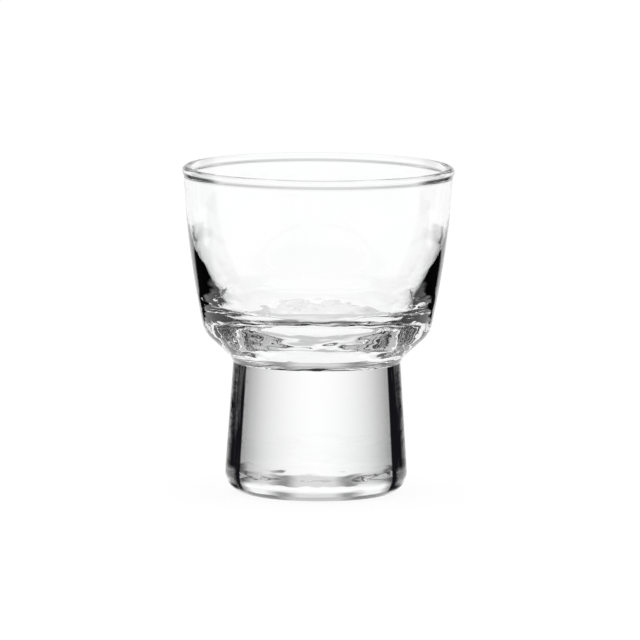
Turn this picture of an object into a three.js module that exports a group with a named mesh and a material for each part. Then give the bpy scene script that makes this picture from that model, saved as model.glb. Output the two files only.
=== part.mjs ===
// A clear glass sake cup: a thin-walled bowl joined hot to a solid, slightly flared foot.
// Millimetres, +Z up. The origin is the centre of the base that the cup stands on.
import * as THREE from "three";

// Whole cup
const overallHeight = 70;
const rimDiameter = 58; // across the outside of the rim bead
const seamDiameter = 35.6; // where the bowl and the foot are joined
const seamHeight = 28.2; // from the base up to that joint

// Bowl, outside
const wallBow = 0.7; // how far the wall swells out from a straight line
const shoulderDiameter = 48; // where the lines of the wall and the underside cross
const shoulderRadius = 6.5; // rounding of that corner
const undersideSlope = 42; // degrees from level
const neckRadius = 6; // hollow rounding from the underside down to the joint
const neckLean = 24; // degrees from upright, where that rounding stops in a crease at the joint

// Bowl, rim and inside
const wallThickness = 1.3; // just under the rim bead
const beadOverhang = 0.35; // how far the bead stands out from each side of the wall
const plumbDepth = 16; // how far down from the bead the inside is drawn straight down
const beltThickness = 3.44; // the wall at the ring where the taper ends and the corner starts
const beltRise = 12.8; // from the joint up to that ring
const taperLean = 21; // degrees from upright, of the inside just over that ring
const taperRun = 5; // how far up that lean holds
const cornerInset = 2.7; // from the ring in to the point that the inside corner bends round
const cornerLift = 1.5; // of that point over the floor
const floorThickness = 7.1; // from the joint up to the floor
const floorDiameter = 27.2; // flat middle of the floor

// Foot
const baseDiameter = 39.4; // where the line of the side meets the table
const heelRadius = 4.8; // rounding of the bottom edge
const hollowDiameter = 25; // shallow hollow under the foot, inside the standing ring
const hollowDepth = 0.6;

// Smoothness of the turned surfaces
const turnSegments = 72;
const filletSteps = 6;
const wallSteps = 8;
const beadSteps = 10;
const taperSteps = 9;
const cornerSteps = 7;
const hollowSteps = 4;

const point = (radius, height) => new THREE.Vector2(radius, height);

const angleFrom = (centre, target) => Math.atan2(target.y - centre.y, target.x - centre.x);

function arc(centre, radius, startAngle, endAngle, steps) {
  const clockwise = endAngle < startAngle;
  const curve = new THREE.EllipseCurve(
    centre.x, centre.y, radius, radius, startAngle, endAngle, clockwise,
  );
  return curve.getPoints(steps);
}

// Half section of the bowl, from the axis at the joint, up the outside, over the rim and down the inside.
function bowlOutline() {
  const slope = THREE.MathUtils.degToRad(undersideSlope);
  const downSlope = point(-Math.cos(slope), -Math.sin(slope));
  const intoGlass = point(-Math.sin(slope), Math.cos(slope));

  // Neck: leaves the joint with a lean and turns out to the slope of the underside
  const lean = THREE.MathUtils.degToRad(neckLean);
  const neckCentre = point(
    seamDiameter / 2 + neckRadius * Math.cos(lean),
    seamHeight - neckRadius * Math.sin(lean),
  );
  const neckEnd = neckCentre.clone().addScaledVector(intoGlass, neckRadius);
  const shoulderReach = (shoulderDiameter / 2 - neckEnd.x) / Math.cos(slope);
  const shoulderCorner = neckEnd.clone().addScaledVector(downSlope, -shoulderReach);

  // Rim bead: a round edge, wider than the wall that runs into it
  const beadRadius = wallThickness / 2 + beadOverhang;
  const beadCentre = point(rimDiameter / 2 - beadRadius, overallHeight - beadRadius);
  const beadTurn = Math.acos(wallThickness / 2 / beadRadius);
  const wallTop = beadCentre.y - beadRadius * Math.sin(beadTurn);
  const outerWallTop = point(beadCentre.x + wallThickness / 2, wallTop);
  const innerWallTop = point(beadCentre.x - wallThickness / 2, wallTop);

  // Wall: a shallow arc whose chord runs from the shoulder corner to the bead
  const chord = outerWallTop.clone().sub(shoulderCorner);
  const wallRadius = chord.lengthSq() / (8 * wallBow) + wallBow / 2;
  const towardsAxis = point(-chord.y, chord.x).normalize();
  const wallCentre = shoulderCorner
    .clone()
    .addScaledVector(chord, 1 / 2)
    .addScaledVector(towardsAxis, wallRadius - wallBow);

  // Shoulder: an arc that touches both the straight underside and the inside of the wall's arc
  const offsetStart = neckEnd.clone().addScaledVector(intoGlass, shoulderRadius);
  const fromWallCentre = offsetStart.clone().sub(wallCentre);
  const along = -fromWallCentre.dot(downSlope);
  const across = fromWallCentre.lengthSq() - along * along;
  const travel = Math.sqrt((wallRadius - shoulderRadius) ** 2 - across) - along;
  const shoulderCentre = offsetStart.clone().addScaledVector(downSlope, -travel);
  const wallStart = angleFrom(wallCentre, shoulderCentre);
  const wallEnd = angleFrom(wallCentre, outerWallTop);

  // Inside: the thin wall tapers in to the belt, then bends round the corner onto the flat floor
  const floorHeight = seamHeight + floorThickness;
  const beltHeight = seamHeight + beltRise;
  const outsideAtBelt =
    wallCentre.x + Math.sqrt(wallRadius ** 2 - (beltHeight - wallCentre.y) ** 2);
  const belt = point(outsideAtBelt - beltThickness, beltHeight);
  const taperTurn = THREE.MathUtils.degToRad(taperLean);
  const taper = new THREE.CubicBezierCurve(
    innerWallTop,
    point(innerWallTop.x, innerWallTop.y - plumbDepth),
    point(belt.x + taperRun * Math.sin(taperTurn), belt.y + taperRun * Math.cos(taperTurn)),
    belt,
  );
  const corner = new THREE.QuadraticBezierCurve(
    belt,
    point(belt.x - cornerInset, floorHeight + cornerLift),
    point(floorDiameter / 2, floorHeight),
  );

  return [
    point(0, seamHeight),
    ...arc(neckCentre, neckRadius, Math.PI - lean, Math.PI / 2 + slope, filletSteps),
    ...arc(shoulderCentre, shoulderRadius, slope - Math.PI / 2, wallStart, filletSteps),
    ...arc(wallCentre, wallRadius, wallStart, wallEnd, wallSteps).slice(1),
    ...arc(beadCentre, beadRadius, -beadTurn, Math.PI + beadTurn, beadSteps).slice(1),
    ...taper.getPoints(taperSteps).slice(1),
    ...corner.getPoints(cornerSteps).slice(1),
    point(0, floorHeight),
  ];
}

// Half section of the foot, from the axis under the base, round the heel and up to the joint.
function footOutline() {
  const hollowRadius = ((hollowDiameter / 2) ** 2 + hollowDepth ** 2) / (2 * hollowDepth);
  const hollowCentre = point(0, hollowDepth - hollowRadius);
  const hollowEdge = angleFrom(hollowCentre, point(hollowDiameter / 2, 0));

  const sideLean = Math.atan2(seamHeight, (baseDiameter - seamDiameter) / 2);
  const heelInset = heelRadius / Math.tan(sideLean / 2);
  const heelCentre = point(baseDiameter / 2 - heelInset, heelRadius);

  return [
    ...arc(hollowCentre, hollowRadius, Math.PI / 2, hollowEdge, hollowSteps),
    ...arc(heelCentre, heelRadius, -Math.PI / 2, Math.PI / 2 - sideLean, filletSteps),
    point(seamDiameter / 2, seamHeight),
    point(0, seamHeight),
  ];
}

function clearGlass() {
  return new THREE.MeshStandardMaterial({
    color: 0xf1f6f6,
    roughness: 0.03,
    metalness: 0,
    transparent: true,
    opacity: 0.3,
  });
}

// Turns a half section round the upright axis.
function turned(name, outline) {
  const geometry = new THREE.LatheGeometry(outline, turnSegments);
  geometry.rotateX(Math.PI / 2);
  const mesh = new THREE.Mesh(geometry, clearGlass());
  mesh.name = name;
  return mesh;
}

const cup = new THREE.Group();
cup.add(turned("foot", footOutline()));
cup.add(turned("bowl", bowlOutline()));

export default cup;
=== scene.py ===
import math

import bpy
from mathutils import Matrix, Vector


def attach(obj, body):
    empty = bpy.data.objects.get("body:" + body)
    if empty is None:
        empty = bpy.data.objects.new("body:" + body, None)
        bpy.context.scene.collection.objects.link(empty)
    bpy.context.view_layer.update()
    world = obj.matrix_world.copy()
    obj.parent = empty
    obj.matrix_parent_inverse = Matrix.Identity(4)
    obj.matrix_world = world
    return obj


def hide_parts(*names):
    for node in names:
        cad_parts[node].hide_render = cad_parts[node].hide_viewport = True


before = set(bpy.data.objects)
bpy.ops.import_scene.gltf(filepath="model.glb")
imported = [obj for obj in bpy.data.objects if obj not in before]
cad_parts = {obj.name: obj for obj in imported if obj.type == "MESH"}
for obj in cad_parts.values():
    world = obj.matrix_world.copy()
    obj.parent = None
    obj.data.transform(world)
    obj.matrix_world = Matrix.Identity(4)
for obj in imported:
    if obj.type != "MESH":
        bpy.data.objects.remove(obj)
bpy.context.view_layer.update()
print("frame loaded:", sorted(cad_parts))

mm = 0.001


class Wire:  # a shader socket that Python expressions can use
    def __init__(self, tree, socket=None):
        self.tree = tree
        self.socket = socket

    def add(self, kind, settings=None, values=None, out=0):
        node = self.tree.nodes.new("ShaderNode" + kind)
        for name, setting in (settings or {}).items():
            if name == "stops":
                fillRamp(node.color_ramp, setting)
            else:
                setattr(node, name, setting)
        for key, value in (values or {}).items():
            if isinstance(value, Wire):
                self.tree.links.new(value.socket, node.inputs[key])
            else:
                node.inputs[key].default_value = value
        return Wire(self.tree, node.outputs[out] if node.outputs else None)

    def outputs(self, *names):  # outputs of the node that this socket is on
        return [Wire(self.tree, self.socket.node.outputs[name]) for name in names]

    def maths(self, operation, first, second=0.0):
        return self.add("Math", {"operation": operation}, {0: first, 1: second})

    def __add__(self, other):
        return self.maths("ADD", self, other)

    def __sub__(self, other):
        return self.maths("SUBTRACT", self, other)

    def __rsub__(self, other):
        return self.maths("SUBTRACT", other, self)

    def __mul__(self, other):
        return self.maths("MULTIPLY", self, other)

    __radd__ = __add__
    __rmul__ = __mul__

    def smooth(self, low, high):  # 0 below low, 1 above high
        limits = {"Value": self, "From Min": low, "From Max": high}
        return self.add("MapRange", {"interpolation_type": "SMOOTHSTEP"}, limits)

    def band(self, start, whole, fading, end):  # 1 from whole to fading, 0 outside start and end
        return self.smooth(start, whole) * (1 - self.smooth(fading, end))

    def distance(self, other):  # from the axis, of a point this far across and that far back
        return self.maths("POWER", self * self + other * other, 0.5)

    def blend(self, share, first, second, mode="MIX"):  # sockets 6, 7 and 2 of Mix are colours
        settings = {"data_type": "RGBA", "blend_type": mode}
        return self.add("Mix", settings, {0: share, 6: first, 7: second}, out=2)


def fillRamp(ramp, stops):  # stops are (place from 0 to 1, grey level)
    while len(ramp.elements) < len(stops):
        ramp.elements.new(1.0)
    for element, (place, level) in zip(ramp.elements, stops):
        element.position = place
        element.color = (level, level, level, 1)


def emptyTree(owner):  # clears the nodes of a material or the world
    owner.use_nodes = True
    owner.node_tree.nodes.clear()
    return Wire(owner.node_tree)


def arc(centre, radius, start, end, steps):
    points = []
    for step in range(steps + 1):
        angle = start + (end - start) * step / steps
        points.append((centre[0] + radius * math.cos(angle), centre[1] + radius * math.sin(angle)))
    return points


def bezier(handles, steps):  # a line from 2 control points, a curve from 3 or 4
    points = []
    for step in range(steps + 1):
        share = step / steps
        layer = handles
        while len(layer) > 1:
            layer = [
                tuple(a + (b - a) * share for a, b in zip(first, second))
                for first, second in zip(layer, layer[1:])
            ]
        points.append(layer[0])
    return points


def offset(point, direction, distance):
    return tuple(p + d * distance for p, d in zip(point, direction))


cup = {
    "height": 70.0,  # mm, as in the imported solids
    "seamRadius": 17.8,
    "seamHeight": 28.2,
    "turnSteps": 256,
    "creaseAngle": 30.0,  # degrees, sharper edges stay hard
    "weld": 0.002,  # points closer than this are one
    "seamTolerance": 0.001,
}


def turnPiece(name, section):  # draws the half section by points, then spins it round the axis
    bpy.ops.object.select_all(action="DESELECT")
    first = section[0]
    bpy.ops.mesh.primitive_plane_add(size=mm, location=(first[0] * mm, 0, first[1] * mm))
    piece = bpy.context.object
    piece.name = name
    piece.data.name = name
    bpy.ops.object.transform_apply(location=True, rotation=True, scale=True)
    bpy.ops.object.mode_set(mode="EDIT")
    bpy.ops.mesh.select_all(action="SELECT")
    bpy.ops.mesh.merge(type="CENTER")
    bpy.ops.mesh.select_mode(type="VERT")
    bpy.ops.mesh.select_all(action="SELECT")
    for near, far in zip(section, section[1:]):
        step = ((far[0] - near[0]) * mm, 0, (far[1] - near[1]) * mm)
        bpy.ops.mesh.extrude_region_move(TRANSFORM_OT_translate={"value": step})
    bpy.ops.mesh.select_all(action="SELECT")
    bpy.ops.mesh.spin(
        steps=cup["turnSteps"], angle=2 * math.pi, center=(0, 0, 0), axis=(0, 0, 1)
    )
    bpy.ops.mesh.select_all(action="SELECT")
    bpy.ops.mesh.remove_doubles(threshold=cup["weld"] * mm)
    bpy.ops.mesh.normals_make_consistent(inside=False)
    bpy.ops.object.mode_set(mode="OBJECT")
    bpy.ops.object.shade_smooth_by_angle(angle=math.radians(cup["creaseAngle"]))
    return piece


foot = {
    "baseRadius": 19.7,  # mm, where the line of the side meets the table
    "heelRounding": 4.8,
    "hollowRadius": 12.5,
    "hollowDepth": 0.6,
    "roundingSteps": 24,
    "hollowSteps": 12,
    "sideSteps": 12,
}


def footSection():  # from the hollow under the base, round the heel and up to the joint
    hollowRadius, hollowDepth = foot["hollowRadius"], foot["hollowDepth"]
    hollowRounding = (hollowRadius**2 + hollowDepth**2) / (2 * hollowDepth)
    hollowCentre = (0.0, hollowDepth - hollowRounding)
    hollowEdge = math.atan2(-hollowCentre[1], hollowRadius)
    sideLean = math.atan2(cup["seamHeight"], foot["baseRadius"] - cup["seamRadius"])
    heelRounding = foot["heelRounding"]
    heelCentre = (foot["baseRadius"] - heelRounding / math.tan(sideLean / 2), heelRounding)
    heelEnd = math.pi / 2 - sideLean
    heel = arc(heelCentre, heelRounding, -math.pi / 2, heelEnd, foot["roundingSteps"])
    seamEdge = (cup["seamRadius"], cup["seamHeight"])
    return (
        arc(hollowCentre, hollowRounding, math.pi / 2, hollowEdge, foot["hollowSteps"])
        + heel
        + bezier([heel[-1], seamEdge], foot["sideSteps"])[1:]
        + [(0.0, cup["seamHeight"])]
    )


bowl = {
    "rimRadius": 29.0,  # mm, to the outside of the bead
    "wallBow": 0.7,
    "shoulderRadius": 24.0,  # where the lines of the wall and the underside cross
    "shoulderRounding": 6.5,
    "undersideSlope": 42.0,  # degrees from level
    "neckRounding": 6.0,
    "neckLean": 24.0,  # degrees from upright, at the crease
    "wallThickness": 1.3,
    "beadOverhang": 0.35,
    "beadBlend": 2.0,  # hollow rounding from the bead into the wall
    "plumbDepth": 15.4,  # how far the inside is drawn straight down
    "beltThickness": 3.44,  # of the wall where the taper ends and the corner starts
    "beltRise": 12.8,
    "taperLean": 21.0,
    "taperRun": 5.0,
    "cornerInset": 2.7,
    "cornerLift": 1.5,
    "floorThickness": 7.1,
    "floorRadius": 13.6,
    "roundingSteps": 24,
    "wallSteps": 36,
    "beadSteps": 36,
    "blendSteps": 12,
    "insideSteps": 40,
}


def bowlSection():  # from the joint up the outside, over the rim and down the inside
    # neck and underside
    slope = math.radians(bowl["undersideSlope"])
    upSlope = (math.cos(slope), math.sin(slope))
    intoGlass = (-math.sin(slope), math.cos(slope))
    lean = math.radians(bowl["neckLean"])
    neckRounding = bowl["neckRounding"]
    neckCentre = (
        cup["seamRadius"] + neckRounding * math.cos(lean),
        cup["seamHeight"] - neckRounding * math.sin(lean),
    )
    neckEnd = offset(neckCentre, intoGlass, neckRounding)
    shoulderReach = (bowl["shoulderRadius"] - neckEnd[0]) / math.cos(slope)
    shoulderCorner = offset(neckEnd, upSlope, shoulderReach)

    # rim bead, with a hollow rounding into each side of the wall
    halfWall = bowl["wallThickness"] / 2
    beadRadius = halfWall + bowl["beadOverhang"]
    beadCentre = (bowl["rimRadius"] - beadRadius, cup["height"] - beadRadius)
    blend = bowl["beadBlend"]
    blendReach = halfWall + blend
    blendDrop = math.sqrt((beadRadius + blend) ** 2 - blendReach**2)
    beadTurn = math.atan2(blendDrop, blendReach)
    wallTop = beadCentre[1] - blendDrop
    outerTop = (beadCentre[0] + halfWall, wallTop)
    innerTop = (beadCentre[0] - halfWall, wallTop)
    outerBlend = (beadCentre[0] + blendReach, wallTop)
    innerBlend = (beadCentre[0] - blendReach, wallTop)

    # wall, a shallow arc from the shoulder's corner to the bead
    chord = (outerTop[0] - shoulderCorner[0], outerTop[1] - shoulderCorner[1])
    chordLength = math.hypot(*chord)
    wallRadius = chordLength**2 / (8 * bowl["wallBow"]) + bowl["wallBow"] / 2
    towardsAxis = (-chord[1] / chordLength, chord[0] / chordLength)
    chordMiddle = offset(shoulderCorner, chord, 0.5)
    wallCentre = offset(chordMiddle, towardsAxis, wallRadius - bowl["wallBow"])

    # shoulder, an arc that touches the underside and the wall
    rounding = bowl["shoulderRounding"]
    start = offset(neckEnd, intoGlass, rounding)
    fromWall = (start[0] - wallCentre[0], start[1] - wallCentre[1])
    along = fromWall[0] * upSlope[0] + fromWall[1] * upSlope[1]
    across = fromWall[0] ** 2 + fromWall[1] ** 2 - along**2
    travel = math.sqrt((wallRadius - rounding) ** 2 - across) - along
    shoulderCentre = offset(start, upSlope, travel)
    wallStart = math.atan2(shoulderCentre[1] - wallCentre[1], shoulderCentre[0] - wallCentre[0])
    wallEnd = math.atan2(outerTop[1] - wallCentre[1], outerTop[0] - wallCentre[0])

    # inside, a taper down to the belt and a soft corner onto the floor
    floorHeight = cup["seamHeight"] + bowl["floorThickness"]
    beltHeight = cup["seamHeight"] + bowl["beltRise"]
    outsideAtBelt = wallCentre[0] + math.sqrt(wallRadius**2 - (beltHeight - wallCentre[1]) ** 2)
    belt = (outsideAtBelt - bowl["beltThickness"], beltHeight)
    taperTurn = math.radians(bowl["taperLean"])
    taper = [
        innerTop,
        (innerTop[0], innerTop[1] - bowl["plumbDepth"]),
        offset(belt, (math.sin(taperTurn), math.cos(taperTurn)), bowl["taperRun"]),
        belt,
    ]
    corner = [
        belt,
        (belt[0] - bowl["cornerInset"], floorHeight + bowl["cornerLift"]),
        (bowl["floorRadius"], floorHeight),
    ]

    steps = bowl["roundingSteps"]
    return (
        [(0.0, cup["seamHeight"])]
        + arc(neckCentre, neckRounding, math.pi - lean, math.pi / 2 + slope, steps)
        + arc(shoulderCentre, rounding, slope - math.pi / 2, wallStart, steps)
        + arc(wallCentre, wallRadius, wallStart, wallEnd, bowl["wallSteps"])[1:]
        + arc(outerBlend, blend, math.pi, math.pi - beadTurn, bowl["blendSteps"])[1:]
        + arc(beadCentre, beadRadius, -beadTurn, math.pi + beadTurn, bowl["beadSteps"])[1:]
        + arc(innerBlend, blend, beadTurn, 0, bowl["blendSteps"])[1:]
        + bezier(taper, bowl["insideSteps"])[1:]
        + bezier(corner, bowl["insideSteps"])[1:]
        + [(0.0, floorHeight)]
    )


clearGlass = {  # scales are per metre, bands are in m up from the table
    "ior": 1.51,
    "pale": (1, 1, 1, 1),
    "tint": (0.985, 0.995, 0.992, 1),  # a breath of green, in soft patches
    "patchScale": (60.0, 60.0, 60.0),
    "patchDetail": 2.0,
    "patchEdge": (0.4, 0.7),
    "polish": 0.004,  # roughness in those patches of the fire-polished skin
    "rippleScale": (200.0, 200.0, 500.0),  # drawn out round the cup
    "rippleDetail": 1.0,
    "rippleHeight": 0.00012,  # m
    "rippleBand": (0.0006, 0.0016, 0.038, 0.052),  # where the glass is thick
    "rippleSlope": 0.65,  # of the line that parts the outside from the inside
    "rippleLine": (-0.0038, -0.0026),
    "rippleRest": 0.12,  # of the ripple that is left elsewhere
    "footBand": (0.0006, 0.0016, 0.0281, 0.0283),
    "footPaintedGrey": [(0, 1), (0.3, 0.3), (0.41, 0.13), (0.5, 0.08)],  # painted shade: the foot is painted greyer as it is seen side on
    "paintedGreyTilt": (0.12, 0.40),  # the painted grey stops where the heel starts to turn under
    "edgeTilt": (0.55, 0.80),  # and the painted black further round
    "edgeFacing": (0.452, 0.478),  # painted shade: the solid glass is painted black where it is seen this much side on
    "edgeGlint": (0.66, 0.92),  # and the painted black clears again towards the outline
    "edgeGlintShare": 0.75,
    "edgePaintedBlack": (0.008, 0.008, 0.010, 1),
    "heelBand": (0.0022, 0.0034, 0.0054, 0.0068),  # painted highlight: the painted black is left off the outline where the heel starts
    "heelFacing": (0.52, 0.62),
    "streakScale": (450.0, 450.0, 60.0),  # drawn out up the foot
    "streakDetail": 2.0,
    "streakEdge": (0.52, 0.68),
    "streakShare": 0.22,  # of the painted black that a streak clears
    "beadBand": (0.0682, 0.0684, 0.0688, 0.0691),  # painted shade: the rim under its widest ring is painted dark at its ends
    "beadReach": (0.0282, 0.0286),  # m from the axis
    "beadFacing": (0.28, 0.44),
    "beadGlint": (0.66, 0.85),
    "beadGlintShare": 0.7,
    "beadPaintedBlack": 0.85,
}


def drawnNoise(wire, place, name):  # noise at the scale and detail that the glass gives for name
    scale, detail = clearGlass[name + "Scale"], clearGlass[name + "Detail"]
    drawn = wire.add("Mapping", None, {"Vector": place, "Scale": scale})
    return wire.add("TexNoise", None, {"Vector": drawn, "Scale": 1.0, "Detail": detail})


def rippleBump(wire, place, up, reach):  # waves in the outside of the thick glass
    outside = (reach - up * clearGlass["rippleSlope"]).smooth(*clearGlass["rippleLine"])
    thick = outside * up.band(*clearGlass["rippleBand"])
    waves = drawnNoise(wire, place, "ripple") * (thick + clearGlass["rippleRest"])
    return wire.add("Bump", None, {"Height": waves, "Distance": clearGlass["rippleHeight"]})


def footPaintedEdges(wire, place, up, tilt, sideOn):  # how much painted shade blackens the edges of the foot
    streak = drawnNoise(wire, place, "streak").smooth(*clearGlass["streakEdge"])
    heelGlint = up.band(*clearGlass["heelBand"]) * sideOn.smooth(*clearGlass["heelFacing"])
    edge = sideOn.smooth(*clearGlass["edgeFacing"]) * (1 - tilt.smooth(*clearGlass["edgeTilt"]))
    glint = sideOn.smooth(*clearGlass["edgeGlint"]) * clearGlass["edgeGlintShare"]
    return edge * (1 - glint) * (1 - heelGlint) * (1 - streak * clearGlass["streakShare"])


def beadPaintedEnds(up, reach, sideOn):  # how much painted shade darkens the ends of the rim bead
    bead = up.band(*clearGlass["beadBand"]) * reach.smooth(*clearGlass["beadReach"])
    glint = sideOn.smooth(*clearGlass["beadGlint"]) * clearGlass["beadGlintShare"]
    return bead * sideOn.smooth(*clearGlass["beadFacing"]) * (1 - glint) * clearGlass["beadPaintedBlack"]


def clearGlassMaterial():
    material = bpy.data.materials.new("clearGlass")
    wire = emptyTree(material)
    place = wire.add("TexCoord", out="Object")
    across, back, up = wire.add("SeparateXYZ", None, {0: place}).outputs("X", "Y", "Z")
    reach = across.distance(back)

    # how the skin is turned, with its tilt left out of how far it is seen side on; this sets the
    # painted shade below
    normal, backfacing = wire.add("NewGeometry").outputs("Normal", "Backfacing")
    outer = 1 - backfacing
    tilt = wire.maths("ABSOLUTE", wire.add("SeparateXYZ", None, {0: normal}, out="Z"))
    level = wire.add("VectorMath", {"operation": "MULTIPLY"}, {0: normal, 1: (1, 1, 0)})
    upright = wire.add("VectorMath", {"operation": "NORMALIZE"}, {0: level})
    sideOn = wire.add("LayerWeight", None, {"Blend": 0.5, "Normal": upright}, out="Facing")

    patch = drawnNoise(wire, place, "patch").smooth(*clearGlass["patchEdge"])
    hue = wire.blend(patch, clearGlass["pale"], clearGlass["tint"])
    footSkin = outer * up.band(*clearGlass["footBand"])
    # painted shade: the outside of the foot is painted greyer the more it is seen side on
    paintedShade = wire.add("ValToRGB", {"stops": clearGlass["footPaintedGrey"]}, {0: sideOn})
    paintedGreyMask = footSkin * (1 - tilt.smooth(*clearGlass["paintedGreyTilt"]))
    skin = wire.add(
        "BsdfPrincipled",
        None,
        {
            "Base Color": wire.blend(paintedGreyMask, hue, paintedShade, "MULTIPLY"),
            "Roughness": patch * clearGlass["polish"],
            "Transmission Weight": 1.0,
            "IOR": clearGlass["ior"],
            "Normal": rippleBump(wire, place, up, reach),
        },
    )
    # painted shade: a black diffuse mixed over the edges of the foot and the ends of the rim bead
    paintedBlackBsdf = wire.add("BsdfDiffuse", None, {"Color": clearGlass["edgePaintedBlack"]})
    footPaintedBlack = footSkin * footPaintedEdges(wire, place, up, tilt, sideOn)
    beadPaintedBlack = outer * beadPaintedEnds(up, reach, sideOn)
    body = wire.add("MixShader", None, {0: footPaintedBlack + beadPaintedBlack, 1: skin, 2: paintedBlackBsdf})
    wire.add("OutputMaterial", None, {"Surface": body})
    return material


def fusedJointMaterial():  # the two gathers melt together here, so no face shows inside
    material = bpy.data.materials.new("fusedJoint")
    wire = emptyTree(material)
    wire.add("OutputMaterial", None, {"Surface": wire.add("BsdfTransparent")})
    return material


def dressPiece(piece, node):
    piece.data.materials.append(glassSkin)
    piece.data.materials.append(fusedJoint)
    for polygon in piece.data.polygons:
        fromSeam = abs(polygon.center.z / mm - cup["seamHeight"])
        polygon.material_index = 1 if fromSeam < cup["seamTolerance"] else 0
    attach(piece, "root")
    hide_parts(node)
    print(node, "dressed:", len(piece.data.polygons), "faces")


glassSkin = clearGlassMaterial()
fusedJoint = fusedJointMaterial()
glassFoot = turnPiece("glass_foot", footSection())
dressPiece(glassFoot, "foot")
glassBowl = turnPiece("glass_bowl", bowlSection())
dressPiece(glassBowl, "bowl")


# The studio is a white table and backdrop, with dark cards round it that only the glass shows.
# Stops are degrees from straight behind the cup to the viewer's right, and how light it is there.
def sideCards(inner, outer, level, innerEdge, outerEdge=6):  # one on each side, with soft edges
    return [
        (-180, 1), (-outer - outerEdge, 1), (-outer, level), (-inner, level),
        (innerEdge - inner, 1), (inner - innerEdge, 1),
        (inner, level), (outer, level), (outer + outerEdge, 1), (180, 1),
    ]


clearAll = [(-180, 1), (180, 1)]
window = [
    (-180, 1), (-76, 1), (-70, 0.05), (-46, 0.05), (-36, 0.9), (-26, 0.9),
    (-17, 0.25), (-14, 0.25), (-8, 0.7), (8, 0.7), (14, 0.25), (17, 0.25),
    (26, 0.9), (36, 0.9), (46, 0.05), (70, 0.05), (76, 1), (180, 1),
]
darkBand = [
    (-180, 0.6), (-120, 0.4), (-60, 0.05), (-22, 0.05), (-12, 0.45),
    (12, 0.45), (22, 0.05), (60, 0.05), (120, 0.4), (180, 0.6),
]
softbox = [(-180, 0.9), (180, 0.9)]
studio = {
    "white": (1, 1, 1, 1),
    "black": (0, 0, 0, 1),
    "tableHalf": 5.0,  # m
    "tablePaint": (0.9, 0.9, 0.9, 1),
    "tableMiddle": clearAll,
    "tableRings": [  # m from the axis, where each ring starts and is whole
        (0.170, 0.190, sideCards(33, 76, 0.01, 7)),
        (0.235, 0.250, sideCards(38, 62, 0.01, 8)),
        (0.290, 0.310, clearAll),
    ],
    "apex": 0.021,  # m behind the axis, where the edges of the cards on the table meet
    "underReach": (0.0185, 0.0215),  # m, the table is painted with the foot's own shade inside this
    "underBack": (0.008, 0.013),  # m behind the axis, where that painted shade is deeper
    "underPaintedShade": (0.03, 0.4),  # the light painted out there, and painted out besides at the back
    "skyFoot": sideCards(46, 70, 0.05, 8),
    "skyBands": [(6, 11, window), (22, 27, darkBand), (48, 56, softbox)],  # degrees up
    "shadowShare": 0.08,  # of the table's white that comes from the lamp
    "lampHeight": 2.0,  # m
    "lampStrength": 2.4,
    "lampSpread": 60.0,  # degrees
}


def cardRamp(wire, azimuth, stops):
    turn = azimuth * (0.5 / math.pi) + 0.5
    places = [((degrees + 180) / 360, level) for degrees, level in stops]
    return wire.add("ValToRGB", {"stops": places}, {0: turn})


def layered(wire, azimuth, reach, first, others):  # each takes over as reach passes its limits
    level = cardRamp(wire, azimuth, first)
    for low, high, stops in others:
        mask = reach.smooth(low, high)
        level = level * (1 - mask) + cardRamp(wire, azimuth, stops) * mask
    return level


def tableMaterial():
    material = bpy.data.materials.new("whiteTable")
    wire = emptyTree(material)
    place = wire.add("TexCoord", out="Object")
    across, back = wire.add("SeparateXYZ", None, {0: place}).outputs("X", "Y")
    azimuth = wire.maths("ARCTAN2", across, back - studio["apex"])
    reach = across.distance(back)
    cards = layered(wire, azimuth, reach, studio["tableMiddle"], studio["tableRings"])
    # painted shadow under the foot, seen only in the glass
    around, behind = studio["underPaintedShade"]
    paintedShade = around + back.smooth(*studio["underBack"]) * behind
    light = cards - paintedShade * (1 - reach.smooth(*studio["underReach"]))

    camera = wire.add("LightPath", out="Is Camera Ray")
    white = wire.add("Emission", None, {"Color": studio["white"]})
    black = wire.add("Emission", None, {"Color": studio["black"]})
    paint = wire.add("BsdfDiffuse", None, {"Color": studio["tablePaint"]})
    seen = wire.add("MixShader", None, {0: studio["shadowShare"], 1: white, 2: paint})
    inGlass = wire.add("MixShader", None, {0: light, 1: black, 2: white})
    surface = wire.add("MixShader", None, {0: camera, 1: inGlass, 2: seen})
    wire.add("OutputMaterial", None, {"Surface": surface})
    return material


bpy.ops.object.select_all(action="DESELECT")
bpy.ops.mesh.primitive_plane_add(size=2 * studio["tableHalf"], location=(0, 0, 0))
table = bpy.context.object
table.name = "table"
table.data.materials.append(tableMaterial())
print("table set")


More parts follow.
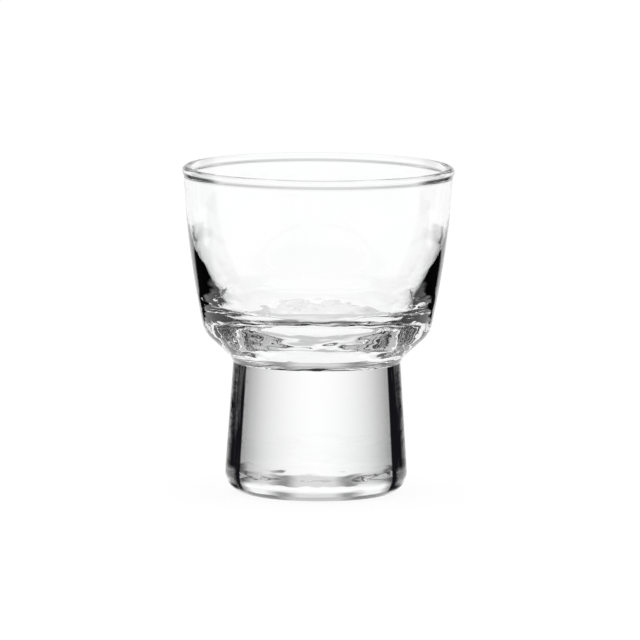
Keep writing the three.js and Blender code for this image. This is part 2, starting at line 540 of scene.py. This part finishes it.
def lightRoom():
    world = bpy.data.worlds.new("studio")
    bpy.context.scene.world = world
    wire = emptyTree(world)
    direction = wire.add("TexCoord", out="Generated")
    across, back, up = wire.add("SeparateXYZ", None, {0: direction}).outputs("X", "Y", "Z")
    azimuth = wire.maths("ARCTAN2", across, back)
    height = wire.maths("ARCSINE", up) * (180 / math.pi)
    light = layered(wire, azimuth, height, studio["skyFoot"], studio["skyBands"])

    camera = wire.add("LightPath", out="Is Camera Ray")
    white = wire.add("Background", None, {"Color": studio["white"]})
    black = wire.add("Background", None, {"Color": studio["black"]})
    inGlass = wire.add("MixShader", None, {0: light, 1: black, 2: white})
    surface = wire.add("MixShader", None, {0: camera, 1: inGlass, 2: white})
    wire.add("OutputWorld", None, {"Surface": surface})


def hangLamp():  # lights only the table, so that the cup casts a faint shadow on it
    bpy.ops.object.light_add(type="SUN", location=(0, 0, studio["lampHeight"]))
    lamp = bpy.context.object
    lamp.name = "overhead"
    lamp.data.energy = studio["lampStrength"]
    lamp.data.angle = math.radians(studio["lampSpread"])
    lamp.visible_camera = False
    lamp.visible_glossy = False
    lamp.visible_transmission = False


lightRoom()
hangLamp()
print("room lit")

view = {
    "elevation": 6.86,  # degrees
    "distance": 3.0,  # m
    "pixelsPerMetre": 4694.0,  # at the cup
    "picture": 640,  # pixels across
    "aim": (0.0006, 0.0, 0.03704),  # m
    "roll": 0.45,  # degrees
    "sensor": 36.0,  # mm
    "clip": (0.05, 100.0),  # m
}


def placeCamera():
    bpy.ops.object.camera_add()
    camera = bpy.context.object
    camera.name = "camera"
    tilt = math.radians(view["elevation"])
    back = Vector((0, -math.cos(tilt), math.sin(tilt)))
    camera.location = Vector(view["aim"]) + back * view["distance"]
    straight = (-back).to_track_quat("-Z", "Y").to_matrix()
    roll = Matrix.Rotation(math.radians(view["roll"]), 3, "Z")
    camera.rotation_euler = (straight @ roll).to_euler()
    camera.data.sensor_width = view["sensor"]
    camera.data.lens = view["sensor"] * view["distance"] * view["pixelsPerMetre"] / view["picture"]
    camera.data.clip_start, camera.data.clip_end = view["clip"]
    bpy.context.scene.camera = camera


placeCamera()
bpy.context.scene.view_settings.view_transform = "Standard"
print("camera placed")
